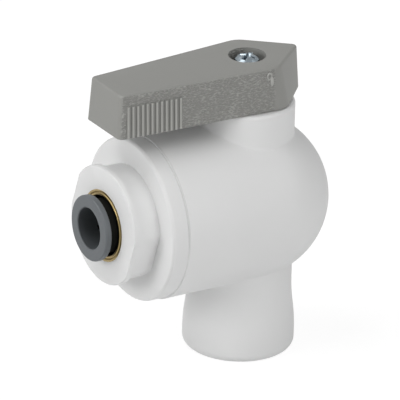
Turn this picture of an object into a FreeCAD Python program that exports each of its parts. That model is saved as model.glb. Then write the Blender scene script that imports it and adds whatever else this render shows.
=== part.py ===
import FreeCAD, Part
import math
import os

# An elbow ball valve with a push-in tube connector at its side and an inside thread below.
# Sizes are in millimetres and angles in degrees. Every piece is built about the centre of
# the ball, and is raised at the end so that the outlet's mouth is at height 0.

# The tube that the valve takes, and the water's way through it
tube_diameter = 9.525
waterway_radius = 3.5

# The valve's body: a barrel with a domed back, a neck above and a skirt below
barrel_radius = 19.3
body_front = 26.0           # ball's centre to the seam between body and cap
dome_offset = 0.5           # how far behind the ball's centre the dome starts
dome_step = 0.06            # dome's radius under the barrel's
dome_blend = 0.5            # length over which the barrel narrows to the dome
neck_radius = 11.35
neck_top = 24.0
neck_rim_round = 0.8
ball_height = 36.9          # ball's centre above the outlet's mouth
outlet_thread_radius = 8.35
outlet_thread_length = 14.5
outlet_cone_length = 2.5
skirt_wall = 4.49
skirt_flare = 0.97          # how much narrower the skirt is at its waist
flare_start = 19.5          # waist's depth below the ball's centre
foot_length = 3.4           # straight part at the mouth
skirt_edge_round = 2.2
seam_round = 0.35
root_round = 0.7            # fillet where the neck and the skirt meet the barrel

# The ball, its seats and their springs
ball_radius = 10.5
chamber_gap = 0.8
seat_gap = 0.06             # between ball and seat
seat_bore_gap = 0.7         # seat's bore over the waterway
seat_wall = 3.8
seat_floor = 2.4            # seat behind the ball's far side
seat_length = 4.6
seat_grip = 2.6             # length of the seat that its pocket holds
seat_fit = 0.05
seat_spring_section = 1.6
rear_wall_gap = 0.5

# The stem and what seals and stops it
slot_width = 3.4
slot_depth = 2.6
tang_play = 0.1
tang_length = 7.0
collar_lift = 0.5           # stem's collar over the ball
collar_radius = 6.0
collar_thickness = 2.2
collar_play = 0.3
washer_thickness = 0.6
running_gap = 0.05          # between faces and rounds that turn on each other
stem_radius = 4.35
stem_seal_section = 1.2
stem_seal_squeeze = 0.03
lower_seal_lift = 2.4       # seal's middle over the washer
stem_seal_spacing = 3.0
groove_play = 0.2
drive_width = 6.0
drive_length = 5.7
stop_depth = 2.9
stop_inner_wall = 2.0
stop_outer_wall = 2.35
stop_play = 0.3
stop_play_angle = 1.5
lug_angle = 30.0
quarter_turn = 90.0

# The lever and its screw
lever_gap = 0.2             # lever over the neck
lever_height = 10.4
lever_droop = 0.5           # angle at which the arm slopes down to its free end
lever_reach = 37.45         # stem's axis to the free end
lever_end_half_width = 6.66
lever_half_width = 9.46
lever_widest = 2.66         # how far behind the stem's axis it is widest
lever_tail = 13.7           # stem's axis to the point behind it
lever_draft = 0.54          # how much each side leans out at the bottom
widest_lean = 2.2           # how much further back the bottom is widest
tail_lean = 0.63            # how much further back the point is at the bottom
end_corner_round = 1.2
side_corner_round = 5.1
tail_corner_round = 1.1
lever_edge_round = 0.6
lever_wall = 2.0
lever_roof = 2.4
hub_radius = 9.0
lever_rib = 1.6
lever_cross_ribs = 3
grip_inset = 1.75           # free end to the first grip rib
grip_pitch = 1.205
grip_ribs = 12
grip_rib_radius = 0.37
grip_bottom = 0.1
grip_top = 2.8              # plain strip over the grip
recess_radius = 4.35
recess_depth = 2.75
screw_head_radius = 2.87
screw_head_height = 2.4
screw_head_dome = 0.45
screw_radius = 1.45
screw_hole_play = 0.05
screw_clearance = 0.3
screw_length = 9.0
screw_hole_depth = 7.5
cross_span = 3.3
cross_width = 0.75
cross_depth = 1.25

# The cap: a flange, a round boss with a front rim and two spanner flats, and a plug in the barrel
seam_step = 0.3             # flange's radius under the barrel's
flange_thickness = 4.1
flange_round = 0.8
boss_length = 7.2
boss_radius = 13.1
boss_across_flats = 24.2
boss_rim = 1.3
boss_rim_radius = 13.93
boss_rim_round = 0.4
rim_across_flats = 25.8
flats_turn = 19.0           # angle at which the cap's flats stand to the upright
plug_wall = 2.9             # plug's radius over the chamber's
thread_play = 0.05
plug_end_gap = 0.4
spigot_step = 1.5
spigot_length = 4.2
cap_seal_section = 1.6
cap_seal_squeeze = 0.02
coring_wall = 1.9
coring_floor = 4.5

# The push-in connector: brass sleeve, collet, teeth, spacer and tube seal
tube_play = 0.0875
socket_length = 6.6
seal_section = 1.95
seal_bite = 0.06            # how much the seal is smaller than the tube
seal_play = 0.05
seal_chamber_length = 6.0
spacer_gap = 0.3
spacer_play = 0.08
sleeve_length = 7.1
sleeve_proud = 0.1
sleeve_margin = 0.7         # sleeve's radius over the collet's flange
lip_width = 1.2             # ring on the sleeve's front
lip_groove_width = 0.4
lip_groove_depth = 0.2
mouth_depth = 1.5
throat_length = 1.0
cam_length = 2.0
collet_wall = 1.5
collet_flange_lip = 1.35
collet_flange_thickness = 1.6
collet_flange_round = 0.35
collet_proud = 3.7
collet_length = 9.0
collet_bore_edge = 0.2
collet_head_rise = 0.65     # how far the fingers' heads stand over the neck
head_length = 2.3
head_slope = 1.2
collet_play = 0.1           # neck in the sleeve's throat
cam_play = 0.2              # heads in the sleeve's cone
finger_count = 6
finger_slot = 1.0
finger_length = 4.0
tooth_bite = 0.11           # how much the teeth reach inside the tube's surface
tooth_root = 0.9
tooth_thickness = 0.4
tooth_angle = 26.0
tooth_inset = 1.2

# Places that several pieces share
chamber_radius = ball_radius + chamber_gap
seat_bore = waterway_radius + seat_bore_gap
seat_radius = seat_bore + seat_wall
seat_back = ball_radius + seat_floor
seat_front = seat_back - seat_length
pocket_floor = seat_back + seat_spring_section
plug_end = seat_back - seat_grip
plug_radius = chamber_radius + plug_wall
spigot_radius = plug_radius + spigot_step
washer_bottom = ball_radius + collar_lift + collar_thickness + running_gap
washer_top = washer_bottom + washer_thickness
stem_bore = stem_radius + running_gap
drive_top = neck_top + drive_length
stop_inner = stem_bore + stop_inner_wall
stop_outer = neck_radius - stop_outer_wall
lever_bottom = neck_top + lever_gap
lever_top = lever_bottom + lever_height
recess_floor = lever_top - recess_depth
skirt_radius = outlet_thread_radius + skirt_wall
flange_front = body_front + flange_thickness
cap_front = flange_front + boss_length
sleeve_floor = cap_front - sleeve_length
seal_floor = sleeve_floor - seal_chamber_length
tube_stop = seal_floor - socket_length
tube_radius = tube_diameter / 2
collet_bore = tube_radius + tube_play
collet_neck = collet_bore + collet_wall
collet_front = cap_front + collet_proud
collet_end = collet_front - collet_length
throat_radius = collet_neck + collet_play
cam_radius = collet_neck + collet_head_rise + cam_play
sleeve_radius = collet_neck + collet_flange_lip + sleeve_margin
seal_inner = tube_radius - seal_bite
seal_chamber = seal_inner + seal_section + seal_play

UP = FreeCAD.Vector(0, 0, 1)
OUTLET = FreeCAD.Vector(0, 0, -1)
INLET = FreeCAD.Vector(-1, 0, 0)
REAR = FreeCAD.Vector(1, 0, 0)
ORIGIN = FreeCAD.Vector(0, 0, 0)


def aimed(shape, direction):
    """Turns a shape that was built along +Z so that it points in this direction."""
    placed = shape.copy()
    placed.Placement = FreeCAD.Placement(ORIGIN, FreeCAD.Rotation(UP, direction))
    return placed


def point(radius, height):
    """A point of an outline that is turned about Z."""
    return FreeCAD.Vector(radius, 0, height)


def turned(edges):
    """A solid of revolution about Z from the edges of a closed outline."""
    face = Part.Face(Part.Wire(edges))
    return face.revolve(ORIGIN, UP, 360)


def lines(points):
    """Straight edges through (height, radius) points, back to the first."""
    corners = [point(radius, height) for height, radius in points]
    return Part.makePolygon(corners + corners[:1]).Edges


def disc(radius, start, end):
    """A round solid about Z from one height to another."""
    return Part.makeCylinder(radius, end - start, FreeCAD.Vector(0, 0, start))


def ring(inner, outer, start, end):
    """A disc with a hole."""
    return turned(lines([(start, inner), (start, outer), (end, outer), (end, inner)]))


def seal_ring(inner, section, height):
    """A round-section ring about Z, with its middle at this height."""
    radius = section / 2
    return Part.makeTorus(inner + radius, radius, FreeCAD.Vector(0, 0, height))


def sector(inner, outer, start, end, middle_angle, width_angle):
    """A piece of a ring, spread evenly about an angle counted from +X."""
    corners = [point(inner, start), point(outer, start), point(outer, end), point(inner, end)]
    face = Part.Face(Part.makePolygon(corners + corners[:1]))
    piece = face.revolve(ORIGIN, UP, width_angle)
    piece.rotate(ORIGIN, UP, middle_angle - width_angle / 2)
    return piece


def prism(corners, start, end):
    """An upright solid on a closed outline of (x, y) corners."""
    points = [FreeCAD.Vector(x, y, start) for x, y in corners]
    face = Part.Face(Part.makePolygon(points + points[:1]))
    return face.extrude(FreeCAD.Vector(0, 0, end - start))


def block(length, width, start, end):
    """An upright block centred on Z."""
    x = length / 2
    y = width / 2
    return prism([(-x, -y), (x, -y), (x, y), (-x, y)], start, end)


def rounded(shape, size, height, radius):
    """Rounds the full circles of this radius that lie at this height."""
    picked = []
    for edge in shape.Edges:
        curve = edge.Curve
        is_circle = isinstance(curve, Part.Circle)
        if is_circle and abs(curve.Radius - radius) < 1e-4 and abs(curve.Center.z - height) < 1e-4:
            picked.append(edge)
    return shape.makeFillet(size, picked)


def save(name, shape):
    """Raises a piece onto the outlet's mouth and writes it out."""
    raised = shape.copy()
    raised.translate(FreeCAD.Vector(0, 0, ball_height))
    raised.exportStep("parts/" + name + ".step")


def barrel_solid():
    """The barrel with its domed back, aimed at the inlet."""
    shoulder = barrel_radius - seam_round
    cut = seam_round * (1 - math.sqrt(0.5))
    dome_radius = barrel_radius - dome_step
    bow = dome_radius * math.sqrt(0.5)
    front = point(0, body_front)
    front_edge = point(shoulder, body_front)
    rim_middle = point(barrel_radius - cut, body_front - cut)
    side_start = point(barrel_radius, body_front - seam_round)
    side_end = point(barrel_radius, dome_blend - dome_offset)
    dome_start = point(dome_radius, -dome_offset)
    dome_middle = point(bow, -dome_offset - bow)
    dome_end = point(0, -dome_offset - dome_radius)
    outline = [
        Part.LineSegment(front, front_edge).toShape(),
        Part.Arc(front_edge, rim_middle, side_start).toShape(),
        Part.LineSegment(side_start, side_end).toShape(),
        Part.LineSegment(side_end, dome_start).toShape(),
        Part.Arc(dome_start, dome_middle, dome_end).toShape(),
        Part.LineSegment(dome_end, front).toShape(),
    ]
    return aimed(turned(outline), INLET)


def skirt_solid():
    """The outlet's skirt: a waist, a gentle flare and a straight foot."""
    waist = skirt_radius - skirt_flare
    flare_end = ball_height - foot_length
    half = (flare_end - flare_start) / 2
    top = point(0, 0)
    waist_top = point(waist, 0)
    waist_end = point(waist, -flare_start)
    foot_start = point(skirt_radius, -flare_end)
    foot_end = point(skirt_radius, -ball_height)
    mouth = point(0, -ball_height)
    waist_pole = point(waist, -flare_start - half)
    foot_pole = point(skirt_radius, half - flare_end)
    flare = Part.BezierCurve()
    flare.setPoles([waist_end, waist_pole, foot_pole, foot_start])
    outline = [
        Part.LineSegment(top, waist_top).toShape(),
        Part.LineSegment(waist_top, waist_end).toShape(),
        flare.toShape(),
        Part.LineSegment(foot_start, foot_end).toShape(),
        Part.LineSegment(foot_end, mouth).toShape(),
        Part.LineSegment(mouth, top).toShape(),
    ]
    return rounded(turned(outline), skirt_edge_round, -ball_height, skirt_radius)


def root_edges(shape):
    """The curves where the neck and the skirt run into the barrel."""
    real = [edge for edge in shape.Edges if not edge.Degenerated]
    return [edge for edge in real if isinstance(edge.Curve, Part.BSplineCurve)]


def body_passages():
    """The solids to cut away from the body, one for each bore, pocket and passage."""
    pocket_radius = seat_radius + seat_fit
    plug_bore = plug_radius + thread_play
    bore_floor = plug_end - plug_end_gap
    thread_top = ball_height - outlet_thread_length
    cone_base = FreeCAD.Vector(0, 0, thread_top - outlet_cone_length)
    rear_wall = ball_radius + rear_wall_gap
    inlet_side = [
        disc(spigot_radius + thread_play, body_front - spigot_length - plug_end_gap, body_front),
        disc(plug_bore, bore_floor, body_front),
        disc(chamber_radius, -rear_wall, body_front),
        disc(pocket_radius, -seat_back, 0),
    ]
    outlet_side = [
        disc(pocket_radius, 0, pocket_floor),
        disc(waterway_radius, 0, thread_top),
        Part.makeCone(waterway_radius, outlet_thread_radius, outlet_cone_length, cone_base),
        disc(outlet_thread_radius, thread_top, ball_height),
    ]
    stem_side = [
        disc(collar_radius + collar_play, 0, washer_top),
        disc(stem_bore, 0, neck_top),
        stop_pocket(),
    ]
    cuts = [aimed(cut, INLET) for cut in inlet_side]
    cuts += [aimed(cut, OUTLET) for cut in outlet_side]
    return cuts + stem_side


def stop_pocket():
    """The curved pocket in the neck's top that the lever's lug travels in."""
    travel = quarter_turn + lug_angle + 2 * stop_play_angle
    middle = 180 + quarter_turn / 2
    return sector(stop_inner, stop_outer, neck_top - stop_depth, neck_top, middle, travel)


def valve_body():
    neck = rounded(disc(neck_radius, 0, neck_top), neck_rim_round, neck_top, neck_radius)
    outside = barrel_solid().fuse([neck, skirt_solid()]).removeSplitter()
    outside = outside.makeFillet(root_round, root_edges(outside))
    return outside.cut(body_passages())


def flatted(shape, across_flats):
    """Leaves of a round piece what lies between the two spanner flats."""
    slab = block(4 * boss_rim_radius, across_flats, flange_front, cap_front)
    slab.rotate(ORIGIN, UP, -flats_turn)
    return shape.common(slab)


def end_cap():
    """The cap, screwed into the barrel: flange, boss, plug and the connector's bores."""
    flange = disc(barrel_radius - seam_step, body_front, flange_front)
    flange = rounded(flange, flange_round, flange_front, barrel_radius - seam_step)
    boss = flatted(disc(boss_radius, flange_front, cap_front - boss_rim), boss_across_flats)
    rim = disc(boss_rim_radius, cap_front - boss_rim, cap_front)
    rim = flatted(rounded(rim, boss_rim_round, cap_front, boss_rim_radius), rim_across_flats)
    plug = disc(plug_radius, plug_end, body_front)
    spigot = disc(spigot_radius, body_front - spigot_length, body_front)
    solid = flange.fuse([boss, rim, plug, spigot])
    groove_radius = spigot_radius - cap_seal_section
    groove_middle = body_front - spigot_length / 2
    groove_half = cap_seal_section / 2 + groove_play
    coring_inner = seat_radius + seat_fit + coring_wall
    coring_outer = plug_radius - coring_wall
    cuts = [
        disc(seat_radius + seat_fit, plug_end, pocket_floor),
        disc(waterway_radius, pocket_floor, tube_stop),
        disc(collet_bore, tube_stop, seal_floor),
        disc(seal_chamber, seal_floor, sleeve_floor),
        disc(sleeve_radius, sleeve_floor, cap_front),
        ring(groove_radius, spigot_radius + 1, groove_middle - groove_half, groove_middle + groove_half),
        ring(coring_inner, coring_outer, plug_end, flange_front - coring_floor),
    ]
    return aimed(solid.cut(cuts).removeSplitter(), INLET)


def cap_seal():
    """The seal ring in the cap's groove, against the barrel's bore."""
    section = cap_seal_section + thread_play - cap_seal_squeeze
    ring_solid = seal_ring(spigot_radius - cap_seal_section, section, body_front - spigot_length / 2)
    return aimed(ring_solid, INLET)


def brass_sleeve():
    """The brass ring in the boss: a grooved lip, a throat and a cone for the collet's heads."""
    front = cap_front + sleeve_proud
    mouth = sleeve_radius - lip_width
    groove_middle = sleeve_radius - lip_width / 2
    throat_start = cap_front - mouth_depth
    throat_end = throat_start - throat_length
    cam_end = throat_end - cam_length
    outline = [
        (front, sleeve_radius),
        (front, groove_middle + lip_groove_width / 2),
        (front - lip_groove_depth, groove_middle),
        (front, groove_middle - lip_groove_width / 2),
        (front, mouth),
        (throat_start, throat_radius),
        (throat_end, throat_radius),
        (cam_end, cam_radius),
        (sleeve_floor, cam_radius),
        (sleeve_floor, sleeve_radius),
    ]
    return aimed(turned(lines(outline)), INLET)


def collet_solid():
    """The collet's turned form, before its fingers are cut."""
    flange_radius = collet_neck + collet_flange_lip
    flange_back = collet_front - collet_flange_thickness
    head_radius = collet_neck + collet_head_rise
    head_start = collet_end + head_length
    outline = [
        (collet_front, collet_bore + collet_bore_edge),
        (collet_front, flange_radius),
        (flange_back, flange_radius),
        (flange_back, collet_neck),
        (head_start, collet_neck),
        (head_start - head_slope, head_radius),
        (collet_end, head_radius),
        (collet_end, collet_bore),
        (collet_front - collet_bore_edge, collet_bore),
    ]
    solid = turned(lines(outline))
    solid = rounded(solid, collet_flange_round, collet_front, flange_radius)
    return rounded(solid, collet_flange_round, flange_back, flange_radius)


def teeth():
    """One steel tooth for each finger, in the fingers' heads."""
    inner = tube_radius - tooth_bite
    outer = collet_bore + tooth_root
    start = collet_end + tooth_inset
    step = 360 / finger_count
    return [
        sector(inner, outer, start, start + tooth_thickness, step * (number + 0.5), tooth_angle)
        for number in range(finger_count)
    ]


def collet():
    reach = collet_neck + collet_head_rise + 1
    slots = []
    for number in range(finger_count):
        slot = block(reach, finger_slot, collet_end - 1, collet_end + finger_length)
        slot.translate(FreeCAD.Vector(reach / 2, 0, 0))
        slot.rotate(ORIGIN, UP, number * 360 / finger_count)
        slots.append(slot)
    return aimed(collet_solid().cut(slots + teeth()), INLET)


def collet_teeth():
    return aimed(Part.makeCompound(teeth()), INLET)


def spacer_ring():
    """The ring between the collet's fingers and the tube seal."""
    start = seal_floor + seal_section + seal_play
    end = sleeve_floor - spacer_gap
    return aimed(ring(collet_bore + spacer_play, seal_chamber - spacer_play, start, end), INLET)


def tube_seal():
    return aimed(seal_ring(seal_inner, seal_section, seal_floor + seal_section / 2), INLET)


def ball():
    """The ball: one port down, one port to the inlet, and the slot for the stem's tang."""
    ports = [
        Part.makeSphere(waterway_radius),
        aimed(disc(waterway_radius, 0, ball_radius), INLET),
        aimed(disc(waterway_radius, 0, ball_radius), OUTLET),
    ]
    slot = block(2 * ball_radius, slot_width, ball_radius - slot_depth, ball_radius + 1)
    return Part.makeSphere(ball_radius).cut(ports + [slot])


def seat(direction):
    """A seat ring, cut to the ball's round on the side that faces it."""
    room_for_ball = Part.makeSphere(ball_radius + seat_gap)
    return aimed(ring(seat_bore, seat_radius, seat_front, seat_back).cut(room_for_ball), direction)


def seat_spring(direction):
    """The rubber ring that presses a seat to the ball."""
    middle = (seat_bore + seat_radius) / 2
    inner = middle - seat_spring_section / 2
    return aimed(seal_ring(inner, seat_spring_section, seat_back + seat_spring_section / 2), direction)


def stem_seal_heights():
    lower = washer_top + lower_seal_lift
    return lower, lower + stem_seal_spacing


def stem():
    """The stem: tang, collar, shaft with two grooves, and a square drive with a tapped hole."""
    tang_bottom = ball_radius - slot_depth + tang_play
    collar_bottom = ball_radius + collar_lift
    collar_top = collar_bottom + collar_thickness
    tang = block(tang_length, slot_width - 2 * tang_play, tang_bottom, collar_bottom)
    collar = disc(collar_radius, collar_bottom, collar_top)
    shaft = disc(stem_radius, collar_bottom, neck_top)
    drive = block(drive_width, drive_width, neck_top, drive_top)
    solid = tang.fuse([collar, shaft, drive]).removeSplitter()
    groove_half = stem_seal_section / 2 + groove_play
    groove_radius = stem_radius - stem_seal_section
    cuts = [
        ring(groove_radius, stem_radius + 1, height - groove_half, height + groove_half)
        for height in stem_seal_heights()
    ]
    cuts.append(disc(screw_radius + screw_hole_play, drive_top - screw_hole_depth, drive_top))
    return solid.cut(cuts)


def stem_seal(height):
    section = stem_seal_section + running_gap - stem_seal_squeeze
    return seal_ring(stem_radius - stem_seal_section, section, height)


def stem_washer():
    """The low-friction ring between the stem's collar and the body."""
    return ring(stem_bore, collar_radius, washer_bottom, washer_top)


def grown(corners, by):
    """Moves every side of a convex outline, given anticlockwise, outwards by the same distance."""
    count = len(corners)
    sides = []
    for index in range(count):
        x0, y0 = corners[index]
        x1, y1 = corners[(index + 1) % count]
        length = math.hypot(x1 - x0, y1 - y0)
        across = (y1 - y0) / length
        along = (x0 - x1) / length
        sides.append((across, along, across * x0 + along * y0 + by))
    moved = []
    for index in range(count):
        a0, b0, c0 = sides[index - 1]
        a1, b1, c1 = sides[index]
        scale = a0 * b1 - a1 * b0
        moved.append(((c0 * b1 - c1 * b0) / scale, (a0 * c1 - a1 * c0) / scale))
    return moved


def rounded_outline(corners, radii, height):
    """A closed wire through the corners, each turned with its own radius."""
    count = len(corners)
    middle = [FreeCAD.Vector(x, y, height) for x, y in corners]
    starts = []
    bows = []
    ends = []
    for index in range(count):
        here = middle[index]
        back = (middle[index - 1] - here).normalize()
        ahead = (middle[(index + 1) % count] - here).normalize()
        half = back.getAngle(ahead) / 2
        inward = (back + ahead).normalize()
        reach = radii[index] / math.tan(half)
        centre = here + inward * (radii[index] / math.sin(half))
        starts.append(here + back * reach)
        bows.append(centre - inward * radii[index])
        ends.append(here + ahead * reach)
    edges = []
    for index in range(count):
        edges.append(Part.Arc(starts[index], bows[index], ends[index]).toShape())
        edges.append(Part.LineSegment(ends[index], starts[(index + 1) % count]).toShape())
    return Part.Wire(edges)


def lever_corners(draft=0, further_back=0, longer_tail=0):
    """The lever's outline, anticlockwise from the free end's near corner: at its top, or leaning out."""
    end = -lever_reach - draft
    end_half = lever_end_half_width + draft
    widest = lever_widest + further_back
    half = lever_half_width + draft
    return [(end, -end_half), (widest, -half), (lever_tail + longer_tail, 0), (widest, half), (end, end_half)]


def lever_block():
    """The lever's outside, wider at the bottom, with its top edges eased."""
    radii = [end_corner_round, side_corner_round, tail_corner_round, side_corner_round, end_corner_round]
    foot = lever_corners(lever_draft, widest_lean, tail_lean)
    bottom = rounded_outline(foot, radii, lever_bottom)
    top = rounded_outline(lever_corners(), radii, lever_top)
    solid = Part.makeLoft([bottom, top], True, True)
    top_edges = [edge for edge in solid.Edges if abs(edge.BoundBox.ZMin - lever_top) < 1e-4]
    return solid.makeFillet(lever_edge_round, top_edges)


def lever_hollow():
    """The space under the lever, with the hub and the ribs left standing in it."""
    inside = grown(lever_corners(), -lever_wall)
    roof = lever_top - lever_roof
    hollow = prism(inside, lever_bottom, roof)
    span = 2 * (lever_reach + lever_tail)
    keep = [disc(hub_radius, lever_bottom, roof), block(span, lever_rib, lever_bottom, roof)]
    first = lever_reach - lever_wall
    bay = (first - hub_radius) / (lever_cross_ribs + 1)
    for number in range(lever_cross_ribs):
        rib = block(lever_rib, 4 * lever_half_width, lever_bottom, roof)
        rib.translate(FreeCAD.Vector(-first + bay * (number + 1), 0, 0))
        keep.append(rib)
    return hollow.cut(keep)


def grip():
    """The upright ribs on both sides of the lever's free end."""
    slope = (lever_half_width - lever_end_half_width) / (lever_reach + lever_widest)
    start = lever_bottom + grip_bottom
    end = lever_top - grip_top
    ribs = []
    for number in range(grip_ribs):
        inset = grip_inset + number * grip_pitch
        x = inset - lever_reach
        side = lever_end_half_width + inset * slope
        lean = lever_draft / lever_height
        low = side + lean * (lever_top - start)
        high = side + lean * (lever_top - end)
        for hand in (-1, 1):
            foot = FreeCAD.Vector(x, hand * low, start)
            rise = FreeCAD.Vector(x, hand * high, end) - foot
            ribs.append(Part.makeCylinder(grip_rib_radius, rise.Length, foot, rise))
    return ribs


def lever():
    socket_width = drive_width + 2 * running_gap
    lug = sector(
        stop_inner + stop_play,
        stop_outer - stop_play,
        neck_top - stop_depth + stop_play,
        lever_bottom + lever_roof,
        180,
        lug_angle,
    )
    arm = lever_block().fuse(grip()).cut(lever_hollow())
    arm.rotate(FreeCAD.Vector(0, 0, lever_bottom), FreeCAD.Vector(0, -1, 0), lever_droop)
    cuts = [
        block(socket_width, socket_width, neck_top, drive_top + running_gap),
        disc(screw_radius + screw_clearance, drive_top, recess_floor),
        disc(recess_radius, recess_floor, lever_top + 1),
    ]
    return arm.cut(cuts).fuse(lug).removeSplitter()


def lever_screw():
    """The pan-head screw that holds the lever on the stem, with a cross recess."""
    head_top = recess_floor + screw_head_height
    side_top = head_top - screw_head_dome
    dome_radius = (screw_head_radius**2 + screw_head_dome**2) / (2 * screw_head_dome)
    half = math.asin(screw_head_radius / dome_radius) / 2
    bow = point(dome_radius * math.sin(half), head_top - dome_radius * (1 - math.cos(half)))
    foot = point(0, recess_floor)
    rim = point(screw_head_radius, recess_floor)
    shoulder = point(screw_head_radius, side_top)
    crown = point(0, head_top)
    outline = [
        Part.LineSegment(foot, rim).toShape(),
        Part.LineSegment(rim, shoulder).toShape(),
        Part.Arc(shoulder, bow, crown).toShape(),
        Part.LineSegment(crown, foot).toShape(),
    ]
    head = turned(outline)
    shank = disc(screw_radius, recess_floor - screw_length, recess_floor)
    cross = block(cross_span, cross_width, head_top - cross_depth, head_top)
    other = block(cross_width, cross_span, head_top - cross_depth, head_top)
    return head.fuse(shank).cut([cross, other]).removeSplitter()


lower_seal_height, upper_seal_height = stem_seal_heights()
pieces = {
    "valve_body": valve_body(),
    "end_cap": end_cap(),
    "cap_seal": cap_seal(),
    "brass_sleeve": brass_sleeve(),
    "collet": collet(),
    "collet_teeth": collet_teeth(),
    "spacer_ring": spacer_ring(),
    "tube_seal": tube_seal(),
    "ball": ball(),
    "inlet_seat": seat(INLET),
    "outlet_seat": seat(OUTLET),
    "rear_seat": seat(REAR),
    "inlet_seat_spring": seat_spring(INLET),
    "outlet_seat_spring": seat_spring(OUTLET),
    "stem": stem(),
    "stem_washer": stem_washer(),
    "lower_stem_seal": stem_seal(lower_seal_height),
    "upper_stem_seal": stem_seal(upper_seal_height),
    "lever": lever(),
    "lever_screw": lever_screw(),
}

os.makedirs("parts", exist_ok=True)
for node, solid in pieces.items():
    save(node, solid)
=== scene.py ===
import bpy
import bmesh
import math
from mathutils import Matrix, Vector


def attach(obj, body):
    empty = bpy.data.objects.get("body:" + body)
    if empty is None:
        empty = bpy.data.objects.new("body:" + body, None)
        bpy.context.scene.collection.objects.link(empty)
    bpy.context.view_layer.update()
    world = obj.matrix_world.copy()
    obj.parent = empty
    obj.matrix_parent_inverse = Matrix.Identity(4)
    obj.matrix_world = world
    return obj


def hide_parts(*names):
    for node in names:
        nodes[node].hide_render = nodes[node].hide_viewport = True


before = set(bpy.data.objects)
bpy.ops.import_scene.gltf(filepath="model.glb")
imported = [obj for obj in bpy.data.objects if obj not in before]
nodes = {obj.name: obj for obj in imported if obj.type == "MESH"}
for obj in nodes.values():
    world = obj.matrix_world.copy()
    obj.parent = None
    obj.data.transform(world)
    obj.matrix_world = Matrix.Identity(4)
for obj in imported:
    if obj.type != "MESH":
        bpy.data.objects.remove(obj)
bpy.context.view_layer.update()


# Camera: the photograph was taken with a long lens from the front left and a little above.
# The camera stands 2.4 m away and leans by less than two degrees.
azimuth = math.radians(-32.38)
elevation = math.radians(23.80)
roll = math.radians(-1.83)
sensor_width = 36.0
lens_length = 952.5
camera_distance = 2.41525
aim_left = 0.00968
aim_down = 0.00129
ball_centre = Vector((0, 0, 0.0369))
towards_camera = Vector((
    math.sin(azimuth) * math.cos(elevation),
    -math.cos(azimuth) * math.cos(elevation),
    math.sin(elevation),
))
forward = -towards_camera
level_right = forward.cross(Vector((0, 0, 1))).normalized()
level_down = forward.cross(level_right)
right = math.cos(roll) * level_right + math.sin(roll) * level_down
down = math.cos(roll) * level_down - math.sin(roll) * level_right
camera = bpy.data.objects.new("camera", bpy.data.cameras.new("camera"))
bpy.context.scene.collection.objects.link(camera)
bpy.context.scene.camera = camera
camera.data.sensor_width = sensor_width
camera.data.lens = lens_length
stand = ball_centre - aim_left * right + aim_down * down - camera_distance * forward
camera.matrix_world = Matrix((
    (right.x, -down.x, -forward.x, stand.x),
    (right.y, -down.y, -forward.y, stand.y),
    (right.z, -down.z, -forward.z, stand.z),
    (0, 0, 0, 1),
))


# Studio floor: a wide white sheet that the valve stands on. It shows white to the camera and
# still takes the valve's soft shadow.
floor_radius = 6.0
sheet_white = (0.88, 0.88, 0.88, 1)
sheet_seen_white = (0.22, 0.22, 0.22, 1)
sheet_seen_glow = 0.88


def added(tree, kind, inputs=None, **settings):
    """A new node with its settings. An input takes a value or what another node puts out."""
    node = tree.nodes.new("ShaderNode" + kind)
    for setting, value in settings.items():
        setattr(node, setting, value)
    for socket, value in (inputs or {}).items():
        if isinstance(value, bpy.types.NodeSocket):
            tree.links.new(value, node.inputs[socket])
        else:
            node.inputs[socket].default_value = value
    return node


def worked(tree, operation, *values):
    """The result of one step of arithmetic on numbers and on what other nodes put out."""
    return added(tree, "Math", dict(enumerate(values)), operation=operation).outputs[0]


def lit_and_seen(tree, lit, seen):
    """One shader for the light on things, and another for the eye, in gloss and through glass too."""
    ray = added(tree, "LightPath").outputs
    eye_or_gloss = worked(tree, "MAXIMUM", ray["Is Camera Ray"], ray["Is Glossy Ray"])
    any_of_three = worked(tree, "MAXIMUM", eye_or_gloss, ray["Is Transmission Ray"])
    return added(tree, "MixShader", {0: any_of_three, 1: lit.outputs[0], 2: seen.outputs[0]}).outputs[0]


floor_shape = bmesh.new()
bmesh.ops.create_circle(floor_shape, cap_ends=True, segments=96, radius=floor_radius)
floor_mesh = bpy.data.meshes.new("studio_floor")
floor_shape.to_mesh(floor_mesh)
floor_shape.free()
floor = bpy.data.objects.new("studio_floor", floor_mesh)
bpy.context.scene.collection.objects.link(floor)
white_sheet = bpy.data.materials.new("white_sheet")
white_sheet.use_nodes = True
tree = white_sheet.node_tree
tree.nodes.clear()
sheet_lit = added(tree, "BsdfDiffuse", {"Color": sheet_white})
sheet_paper = added(tree, "BsdfDiffuse", {"Color": sheet_seen_white})
sheet_glow = added(tree, "Emission", {"Strength": sheet_seen_glow})
sheet_seen = added(tree, "AddShader", {0: sheet_paper.outputs[0], 1: sheet_glow.outputs[0]})
added(tree, "OutputMaterial", {"Surface": lit_and_seen(tree, sheet_lit, sheet_seen)})
floor_mesh.materials.append(white_sheet)


# Studio light: ten soft panels around the valve, the strongest on the left and in front. The
# room itself gives no light, but it looks white behind the valve and in its gloss.
panel_distance = 1.2
panel_size = 0.6
world = bpy.data.worlds.new("white_room")
bpy.context.scene.world = world
world.use_nodes = True
tree = world.node_tree
tree.nodes.clear()
room_lit = added(tree, "Background", {"Strength": 0.0})
room_seen = added(tree, "Background", {"Color": (1, 1, 1, 1), "Strength": 1.0})
added(tree, "OutputWorld", {"Surface": lit_and_seen(tree, room_lit, room_seen)})
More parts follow.
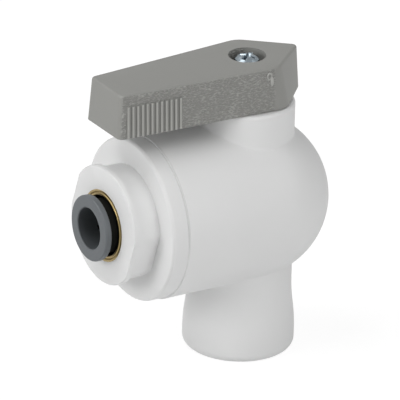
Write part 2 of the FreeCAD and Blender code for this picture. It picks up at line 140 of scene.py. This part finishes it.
# Each panel's name, its degrees round the valve from the front, its degrees up, and its watts.
for panel_name, bearing, climb, power in (
    ("left_panel", -90, 20, 5.4),
    ("front_panel", 0, 20, 3.9),
    ("high_back_left_panel", -120, 60, 3.4),
    ("high_front_panel", 0, 55, 2.4),
    ("high_left_panel", -90, 65, 2.3),
    ("front_right_panel", 20, 5, 1.8),
    ("low_back_left_panel", -110, 10, 1.0),
    ("back_left_panel", -130, 30, 0.7),
    ("high_right_panel", 60, 50, 1.0),
    ("back_panel", 180, 50, 0.7),
):
    panel = bpy.data.objects.new(panel_name, bpy.data.lights.new(panel_name, "AREA"))
    bpy.context.scene.collection.objects.link(panel)
    panel.data.size = panel_size
    panel.data.energy = power
    level = panel_distance * math.cos(math.radians(climb))
    away = Vector((
        level * math.sin(math.radians(bearing)),
        -level * math.cos(math.radians(bearing)),
        panel_distance * math.sin(math.radians(climb)),
    ))
    panel.location = ball_centre + away
    panel.rotation_euler = (-away).to_track_quat("-Z", "Y").to_euler()
bpy.context.scene.view_settings.view_transform = "Standard"


# Valve body: white acetal, moulded in one piece. It has a barrel with a domed back, a neck
# for the stem above and a skirt with an inside pipe thread below.
mm = 0.001
merge_gap = 0.002 * mm
sharp_edge = math.radians(32)


def merged_copy(node):
    """A copy of a CAD node's shape, with its loose triangles joined."""
    shape = bmesh.new()
    shape.from_mesh(nodes[node].data)
    bmesh.ops.remove_doubles(shape, verts=shape.verts, dist=merge_gap)
    return shape


def stood_in(shape, name, body, slot, *replaced):
    """Makes a piece of a finished shape, which rides on a body and stands for CAD nodes."""
    mesh = bpy.data.meshes.new(name)
    shape.to_mesh(mesh)
    shape.free()
    if "custom_normal" in mesh.attributes:
        mesh.attributes.remove(mesh.attributes["custom_normal"])
    piece = bpy.data.objects.new(name, mesh)
    bpy.context.scene.collection.objects.link(piece)
    mesh.polygons.foreach_set("use_smooth", [True] * len(mesh.polygons))
    mesh.set_sharp_from_angle(angle=sharp_edge)
    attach(piece, body)
    if replaced:
        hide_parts(*replaced)
    return piece


thread_radius = 8.36 * mm
thread_depth = 0.82 * mm
thread_pitch = 1.337 * mm
thread_turns = 9.6
steps_per_turn = 60
ridge_foot = 0.50 * mm
ridge_flank = 0.57 * mm
ridge_crest = 0.13 * mm
crest_radius = thread_radius - thread_depth
crest_start = ridge_foot + ridge_flank
crest_end = crest_start + ridge_crest
ridge = bmesh.new()
section = ridge.faces.new([
    ridge.verts.new((thread_radius, 0, ridge_foot)),
    ridge.verts.new((crest_radius, 0, crest_start)),
    ridge.verts.new((crest_radius, 0, crest_end)),
    ridge.verts.new((thread_radius, 0, crest_end + ridge_flank)),
])
bmesh.ops.spin(
    ridge,
    geom=[section] + list(section.edges) + list(section.verts),
    cent=(0, 0, 0),
    axis=(0, 0, 1),
    dvec=(0, 0, thread_pitch / steps_per_turn),
    angle=thread_turns * math.tau,
    steps=round(thread_turns * steps_per_turn),
    use_duplicate=False,
)
bmesh.ops.recalc_face_normals(ridge, faces=ridge.faces)
ridge_mesh = bpy.data.meshes.new("ridge")
ridge.to_mesh(ridge_mesh)
ridge.free()
body_shape = merged_copy("valve_body")
body_shape.from_mesh(ridge_mesh)
bpy.data.meshes.remove(ridge_mesh)
body = stood_in(body_shape, "moulded_body", "valve", "white_plastic", "valve_body")


def effect(name, takes, gives):
    """An empty shader node group, with its named inputs and outputs."""
    group = bpy.data.node_groups.new(name, "ShaderNodeTree")
    for way, sockets in (("INPUT", takes), ("OUTPUT", gives)):
        for socket, kind in sockets.items():
            group.interface.new_socket(socket, in_out=way, socket_type="NodeSocket" + kind)
    return group, group.nodes.new("NodeGroupInput").outputs, group.nodes.new("NodeGroupOutput").inputs


def moulded_skin_effect():
    """The look of moulded plastic: faint cloudiness, an uneven gloss and a fine skin."""
    cloud_scale = 90
    skin_scale = 2600
    gloss_spread = 0.12
    group, given, made = effect(
        "moulded_skin",
        {"Colour": "Color", "Cloudiness": "Float", "Gloss Loss": "Float"},
        {"Colour": "Color", "Roughness": "Float", "Height": "Float"},
    )
    place = added(group, "TexCoord").outputs["Object"]
    cloud = added(group, "TexNoise", {"Vector": place, "Scale": cloud_scale, "Detail": 3}).outputs["Fac"]
    skin = added(group, "TexNoise", {"Vector": place, "Scale": skin_scale, "Detail": 2}).outputs["Fac"]
    uneven = worked(group, "MULTIPLY", worked(group, "SUBTRACT", cloud, 0.5), given["Cloudiness"])
    level = worked(group, "ADD", uneven, 1.0)
    tint = added(group, "VectorMath", {0: given["Colour"], "Scale": level}, operation="SCALE")
    dull = worked(group, "MULTIPLY_ADD", cloud, gloss_spread, given["Gloss Loss"])
    group.links.new(tint.outputs[0], made["Colour"])
    group.links.new(dull, made["Roughness"])
    group.links.new(skin, made["Height"])
    return group


moulded_skin = moulded_skin_effect()


def covered(name, look, values, depth):
    """A finish that takes its colour, its roughness and its relief, this deep, from an effect."""
    finish = bpy.data.materials.new(name)
    finish.use_nodes = True
    tree = finish.node_tree
    surface = tree.nodes["Principled BSDF"].inputs
    pattern = added(tree, "Group", values, node_tree=look)
    relief = added(tree, "Bump", {"Height": pattern.outputs["Height"], "Distance": depth})
    tree.links.new(pattern.outputs["Colour"], surface["Base Color"])
    tree.links.new(pattern.outputs["Roughness"], surface["Roughness"])
    tree.links.new(relief.outputs["Normal"], surface["Normal"])
    return finish


def moulded(name, colour, cloudiness=0.05, gloss_loss=0.34, skin_depth=0.01 * mm):
    """A plastic finish of one colour, with the moulded skin on it."""
    values = {"Colour": (*colour, 1), "Cloudiness": cloudiness, "Gloss Loss": gloss_loss}
    return covered(name, moulded_skin, values, skin_depth)


def finished(piece, *finishes):
    """Gives a piece or a CAD node its finishes."""
    piece.data.materials.clear()
    for finish in finishes:
        piece.data.materials.append(finish)


def three_values(tree, kind="Object"):
    """Where a point of the surface is, in metres along X, Y and Z, or which way it faces."""
    return added(tree, "SeparateXYZ", {0: added(tree, "TexCoord").outputs[kind]}).outputs


def zone(tree, value, start, end):
    """A mask over a surface that rises from 0 to 1 as the value goes from start to end."""
    limits = {"Value": value, "From Min": start, "From Max": end}
    return added(tree, "MapRange", limits, interpolation_type="SMOOTHSTEP").outputs[0]


def overlap(tree, mask, *others):
    """The part of a surface that lies in all of these zones."""
    for other in others:
        mask = worked(tree, "MULTIPLY", mask, other)
    return mask


def band(tree, value, middle, half_width, fade):
    """A mask that is 1 within half a width of the middle and fades to 0 on both sides."""
    return overlap(
        tree,
        zone(tree, value, middle - half_width - fade, middle - half_width),
        zone(tree, value, middle + half_width + fade, middle + half_width),
    )


def dimming_effect():
    """A colour, dimmed by a share where a mask is 1."""
    group, given, made = effect(
        "dimming", {"Colour": "Color", "Mask": "Float", "Share": "Float"}, {"Colour": "Color"},
    )
    kept = worked(group, "SUBTRACT", 1.0, worked(group, "MULTIPLY", given["Mask"], given["Share"]))
    tint = added(group, "VectorMath", {0: given["Colour"], "Scale": kept}, operation="SCALE")
    group.links.new(tint.outputs[0], made["Colour"])
    return group


dimming = dimming_effect()


def dimmed(finish, mask, share):
    """Dims the colour of a finish by this share where the mask is 1. Below 0 it grows lighter."""
    tree = finish.node_tree
    base_colour = tree.nodes["Principled BSDF"].inputs["Base Color"]
    values = {"Colour": base_colour.links[0].from_socket, "Mask": mask, "Share": share}
    tree.links.new(added(tree, "Group", values, node_tree=dimming).outputs["Colour"], base_colour)


# Painted shade makes the upper half of the seam between cap and barrel a faint dark line, and
# painted shade dims the front edge of the cap's flange, which would otherwise catch a bright line.
seam_middle = -25.9 * mm
seam_half_width = 0.1 * mm
seam_fade = 0.25 * mm
seam_rise = (30 * mm, 42 * mm)
seam_painted_shade_share = 0.22
rim_front = (-27.0 * mm, -27.3 * mm)
rim_rise = (20 * mm, 30 * mm)
rim_turns_forward = (-0.25, -0.55)
rim_meets_face = (-0.99, -0.85)
rim_painted_shade_share = 0.10
white_acetal = moulded("white_acetal", (0.72, 0.722, 0.72), gloss_loss=0.48)
tree = white_acetal.node_tree
at = three_values(tree)
facing = three_values(tree, "Normal")["X"]
# Painted shade along the upper half of the seam.
dimmed(white_acetal, overlap(
    tree,
    band(tree, at["X"], seam_middle, seam_half_width, seam_fade),
    zone(tree, at["Z"], *seam_rise),
), seam_painted_shade_share)
# Painted shade on the flange's front edge, where it faces half forward.
dimmed(white_acetal, overlap(
    tree,
    zone(tree, facing, *rim_turns_forward),
    zone(tree, facing, *rim_meets_face),
    zone(tree, at["X"], *rim_front),
    zone(tree, at["Z"], *rim_rise),
), rim_painted_shade_share)
finished(body, white_acetal)


# End cap: the same white plastic, screwed into the barrel. Its flange meets the barrel at the
# seam, and its boss, with a front rim and two spanner flats, holds the tube connector.
cap = stood_in(merged_copy("end_cap"), "moulded_cap", "valve", "white_plastic", "end_cap")
finished(cap, white_acetal)


# Brass sleeve: a turned ring pressed into the boss, which guides the collet and closes its
# fingers. Its front edge is bright, and its wall behind is dimmed almost to black as painted shade.
sleeve = stood_in(merged_copy("brass_sleeve"), "turned_sleeve", "valve", "brass", "brass_sleeve")
sleeve_behind = (-37.35 * mm, -36.6 * mm)
sleeve_painted_shade_share = 0.985


def metal_grain_effect():
    """The look of worked metal: patches of tarnish, an uneven polish and a fine grain."""
    polish_spread = 0.15
    group, given, made = effect(
        "metal_grain",
        {"Colour": "Color", "Tarnish": "Color", "Roughness": "Float", "Scale": "Float"},
        {"Colour": "Color", "Roughness": "Float", "Height": "Float"},
    )
    place = added(group, "TexCoord").outputs["Object"]
    speckle = {"Vector": place, "Scale": given["Scale"], "Detail": 4}
    patches = added(group, "TexNoise", speckle).outputs["Fac"]
    tones = {"Factor": patches, "A": given["Colour"], "B": given["Tarnish"]}
    tone = added(group, "Mix", tones, data_type="RGBA")
    dull = worked(group, "MULTIPLY_ADD", patches, polish_spread, given["Roughness"])
    group.links.new(tone.outputs["Result"], made["Colour"])
    group.links.new(dull, made["Roughness"])
    group.links.new(patches, made["Height"])
    return group


metal_grain = metal_grain_effect()


def metal(name, colour, tarnish, roughness, grain_scale, grain_depth):
    """A metal finish of two tones, with the grain of worked metal on it."""
    tones = {"Colour": (*colour, 1), "Tarnish": (*tarnish, 1)}
    finish = covered(name, metal_grain, {**tones, "Roughness": roughness, "Scale": grain_scale}, grain_depth)
    finish.node_tree.nodes["Principled BSDF"].inputs["Metallic"].default_value = 1.0
    return finish


turned_brass = metal(
    "turned_brass", colour=(0.41, 0.315, 0.145), tarnish=(0.24, 0.18, 0.08),
    roughness=0.26, grain_scale=1400, grain_depth=0.006 * mm,
)
tree = turned_brass.node_tree
# Painted shade: the wall behind the front edge is dimmed almost to black.
dimmed(turned_brass, zone(tree, three_values(tree)["X"], *sleeve_behind), sleeve_painted_shade_share)
finished(sleeve, turned_brass)


# Collet: slate-grey acetal with six sprung fingers. Its flange is pushed to release the tube,
# and a steel tooth in each finger's head bites the tube. Behind the flange a near-black finish is
# painted shade, and the wall of its bore is darkened by painted shade.
bore_wall = (5.05 * mm, 4.9 * mm)
bore_painted_shade_share = 0.32
flange_back = -39.45 * mm
dark_from_radius = 5.3 * mm
dark_gloss = 0.06
collet = stood_in(merged_copy("collet"), "slotted_collet", "release", "slate_plastic", "collet")
slate_acetal = moulded("slate_acetal", (0.095, 0.105, 0.113), cloudiness=0.14, gloss_loss=0.4)
tree = slate_acetal.node_tree
at = three_values(tree)
above_axis = worked(tree, "SUBTRACT", at["Z"], ball_centre.z)
arm = added(tree, "CombineXYZ", {"Y": at["Y"], "Z": above_axis}).outputs[0]
from_axis = added(tree, "VectorMath", {0: arm}, operation="LENGTH").outputs["Value"]
# Painted shade on the wall of the bore.
dimmed(slate_acetal, zone(tree, from_axis, *bore_wall), bore_painted_shade_share)
# A near-black finish as painted shade, for the fingers behind the flange.
painted_shade_acetal = moulded("painted_shade_acetal", (0.008, 0.0085, 0.007), cloudiness=0.3, gloss_loss=0.5)
painted_shade_acetal.node_tree.nodes["Principled BSDF"].inputs["Specular IOR Level"].default_value = dark_gloss
finished(collet, slate_acetal, painted_shade_acetal)
for face in collet.data.polygons:
    face_from_axis = math.hypot(face.center.y, face.center.z - ball_centre.z)
    if face.center.x > flange_back and face_from_axis > dark_from_radius:
        face.material_index = 1
sheared_steel = metal(
    "sheared_steel", colour=(0.62, 0.63, 0.64), tarnish=(0.50, 0.51, 0.53),
    roughness=0.25, grain_scale=3000, grain_depth=0.003 * mm,
)
finished(nodes["collet_teeth"], sheared_steel)


# Seals and springs: black nitrile rings, moulded, with a faint bloom on the rubber. They lie
# squeezed in their grooves, and two of them press the seats to the ball.
black_nitrile = moulded(
    "black_nitrile", (0.006, 0.006, 0.0065), cloudiness=0.5, gloss_loss=0.5, skin_depth=0.004 * mm,
)
for ring in (
    "cap_seal", "tube_seal", "inlet_seat_spring", "outlet_seat_spring",
    "lower_stem_seal", "upper_stem_seal",
):
    finished(nodes[ring], black_nitrile)


# Spacer and stem: the natural-coloured plastic of the pieces that nobody sees. The spacer holds
# the tube seal off the collet's fingers, and the stem turns the ball.
natural_acetal = moulded("natural_acetal", (0.70, 0.68, 0.61), cloudiness=0.06, gloss_loss=0.36)
finished(nodes["spacer_ring"], natural_acetal)
finished(nodes["stem"], natural_acetal)


# Ball: a polished plastic ball with two ports at a right angle. The seats hold it in the body,
# and the stem's tang turns it.
polished_plastic = moulded(
    "polished_plastic", (0.74, 0.74, 0.71), cloudiness=0.04, gloss_loss=0.06, skin_depth=0.0015 * mm,
)
finished(nodes["ball"], polished_plastic)


# Seats and stem washer: waxy white low-friction plastic, turned to size. The seats lie in the
# body around the ball, and the washer lies between the stem's collar and the body.
waxy_plastic = moulded(
    "waxy_plastic", (0.80, 0.80, 0.77), cloudiness=0.04, gloss_loss=0.42, skin_depth=0.004 * mm,
)
for part in ("inlet_seat", "outlet_seat", "rear_seat", "stem_washer"):
    finished(nodes[part], waxy_plastic)


# Lever: grey glass-filled nylon. Its two long sides carry a coarse streaky mould grain and a
# ribbed grip, and its top, its end and its tail are smooth.
lever = stood_in(merged_copy("lever"), "grey_lever", "handle", "grey_plastic", "lever")
# On the grip the grooves carry painted shade, and the ribs and their top ends a painted highlight.
# The grain's relief is a bump, with painted shade in its hollows and a painted highlight on its
# peaks. A share below 0 is a gain in light.
grip_middle = -29.1 * mm
grip_half_length = 7.0 * mm
grip_fade = 0.2 * mm
grip_below = (68.6 * mm, 68.3 * mm)
grip_turns_sideways = (0.2, 0.3)
rib_pitch = 1.205 * mm
first_rib = -35.70 * mm
groove_in_wave = (0.4, -0.6)
crest_in_wave = (-0.2, 0.7)
rib_top_rise = (67.9 * mm, 68.2 * mm)
groove_painted_shade_share = 0.12
crest_painted_highlight_share = -0.48
rib_top_painted_highlight_share = -0.15
grain_before = (2.2 * mm, 1.2 * mm)
grain_turns_sideways = (0.72, 0.90)
grain_scale = 1500
grain_lean = math.radians(14)
grain_stretch = 2.6
grain_depth = 0.14 * mm
peak_in_lumps = (0.40, 0.70)
hollow_painted_shade_share = 0.156
peak_painted_highlight_share = -0.312
grey_nylon = moulded(
    "grey_nylon", (0.243, 0.243, 0.229), cloudiness=0.06, gloss_loss=0.46, skin_depth=0.012 * mm,
)
tree = grey_nylon.node_tree
normal = tree.nodes["Principled BSDF"].inputs["Normal"]
at = three_values(tree)
sideways = worked(tree, "ABSOLUTE", three_values(tree, "Normal")["Y"])
grip = overlap(
    tree,
    band(tree, at["X"], grip_middle, grip_half_length, grip_fade),
    zone(tree, at["Z"], *grip_below),
    zone(tree, sideways, *grip_turns_sideways),
)
grainy = overlap(
    tree,
    zone(tree, sideways, *grain_turns_sideways),
    zone(tree, at["X"], *grain_before),
    worked(tree, "SUBTRACT", 1.0, grip),
)
slanted = added(tree, "Mapping", {
    "Vector": added(tree, "TexCoord").outputs["Object"],
    "Rotation": (0, grain_lean, 0),
    "Scale": (1.0, 1.0, grain_stretch),
})
lumps = added(tree, "TexNoise", {
    "Vector": slanted.outputs[0], "Scale": grain_scale, "Detail": 1, "Roughness": 0.4,
})
peaks = zone(tree, lumps.outputs["Fac"], *peak_in_lumps)
grain_relief = added(tree, "Bump", {
    "Height": worked(tree, "MULTIPLY", peaks, grainy),
    "Distance": grain_depth,
    "Normal": normal.links[0].from_socket,
})
tree.links.new(grain_relief.outputs["Normal"], normal)
# Painted shade in the grain's hollows and a painted highlight on its peaks.
grain_shade = worked(tree, "MULTIPLY_ADD", peaks, peak_painted_highlight_share - hollow_painted_shade_share, hollow_painted_shade_share)
dimmed(grey_nylon, worked(tree, "MULTIPLY", grain_shade, grainy), 1.0)
# Painted shade in the grip's grooves, and a painted highlight on its ribs and their tops.
rib_turns = worked(tree, "MULTIPLY_ADD", at["X"], math.tau / rib_pitch, -first_rib / rib_pitch * math.tau)
rib_wave = worked(tree, "COSINE", rib_turns)
crest = overlap(tree, grip, zone(tree, rib_wave, *crest_in_wave))
dimmed(grey_nylon, overlap(tree, grip, zone(tree, rib_wave, *groove_in_wave)), groove_painted_shade_share)
dimmed(grey_nylon, crest, crest_painted_highlight_share)
dimmed(grey_nylon, overlap(tree, crest, zone(tree, at["Z"], *rib_top_rise)), rib_top_painted_highlight_share)
finished(lever, grey_nylon)


# Gate mark: where the nylon ran into the lever's mould. It is a small raised loop with a nub
# at its foot, both smoother and a little lighter than the grain around them.
loop_radius = 0.46 * mm
loop_wire = 0.16 * mm
loop_stretch = (1.15, 1.0, 1.6)
loop_place = (0.20 * mm, -9.43 * mm, 69.66 * mm)
nub_size = (0.48 * mm, 0.34 * mm, 1.1 * mm)
nub_place = (0.85 * mm, -9.52 * mm, 68.3 * mm)
gate_shape = bmesh.new()
bmesh.ops.create_circle(
    gate_shape, segments=12, radius=loop_wire, matrix=Matrix.Translation((loop_radius, 0, 0)),
)
bmesh.ops.spin(
    gate_shape, geom=list(gate_shape.verts) + list(gate_shape.edges),
    cent=(0, 0, 0), axis=(0, 1, 0), angle=math.tau, steps=48, use_merge=True, use_duplicate=False,
)
bmesh.ops.recalc_face_normals(gate_shape, faces=gate_shape.faces)
bmesh.ops.scale(gate_shape, vec=loop_stretch, verts=gate_shape.verts)
bmesh.ops.translate(gate_shape, vec=loop_place, verts=gate_shape.verts)
nub = bmesh.ops.create_uvsphere(gate_shape, u_segments=24, v_segments=16, radius=1.0)["verts"]
bmesh.ops.scale(gate_shape, vec=nub_size, verts=nub)
bmesh.ops.translate(gate_shape, vec=nub_place, verts=nub)
gate_mark = stood_in(gate_shape, "gate_mark", "handle", "grey_plastic")
smooth_nylon = moulded("smooth_nylon", (0.36, 0.36, 0.343), cloudiness=0.06, gloss_loss=0.4)
finished(gate_mark, smooth_nylon)


# Lever screw: zinc-plated steel, with a slightly domed pan head. Its cross recess narrows
# towards the floor and has eased edges. It holds the lever on the stem.
cross_turn = math.radians(35)
cross_lowest = 69.8 * mm
cross_radius = 1.8 * mm
cross_widening = 1.25
cross_floor = 69.90 * mm
cross_floor_radius = 2.2 * mm
cross_floor_taper = 0.5
same_level = 0.01 * mm
head_rim = 69.95 * mm
head_radius = 2.9 * mm
head_dome = 0.34 * mm
head_top = 70.5 * mm
cross_edge = math.radians(40)
edge_easing = 0.14 * mm
screw_shape = merged_copy("lever_screw")
bmesh.ops.rotate(screw_shape, verts=screw_shape.verts, matrix=Matrix.Rotation(cross_turn, 3, "Z"))
for v in screw_shape.verts:
    if v.co.z > cross_lowest and v.co.xy.length < cross_radius:
        v.co.xy *= cross_widening
    if v.co.z > head_rim:
        v.co.z += head_dome * (1 - min(1.0, v.co.xy.length / head_radius) ** 2)
floor_corners = [
    v for v in screw_shape.verts
    if abs(v.co.z - cross_floor) < same_level and v.co.xy.length < cross_floor_radius
]
bmesh.ops.scale(screw_shape, vec=(cross_floor_taper, cross_floor_taper, 1.0), verts=floor_corners)
cross_edges = [
    edge for edge in screw_shape.edges
    if min(v.co.z for v in edge.verts) > head_top and edge.calc_face_angle(0) > cross_edge
]
bmesh.ops.bevel(
    screw_shape, geom=cross_edges, offset=edge_easing, offset_type="OFFSET", segments=2, profile=0.5,
    affect="EDGES", material=-1,
)
screw = stood_in(screw_shape, "pan_head_screw", "handle", "zinc_plated_steel", "lever_screw")
zinc_plate = metal(
    "zinc_plate", colour=(0.24, 0.275, 0.30), tarnish=(0.15, 0.18, 0.20),
    roughness=0.14, grain_scale=1500, grain_depth=0.004 * mm,
)
finished(screw, zinc_plate)
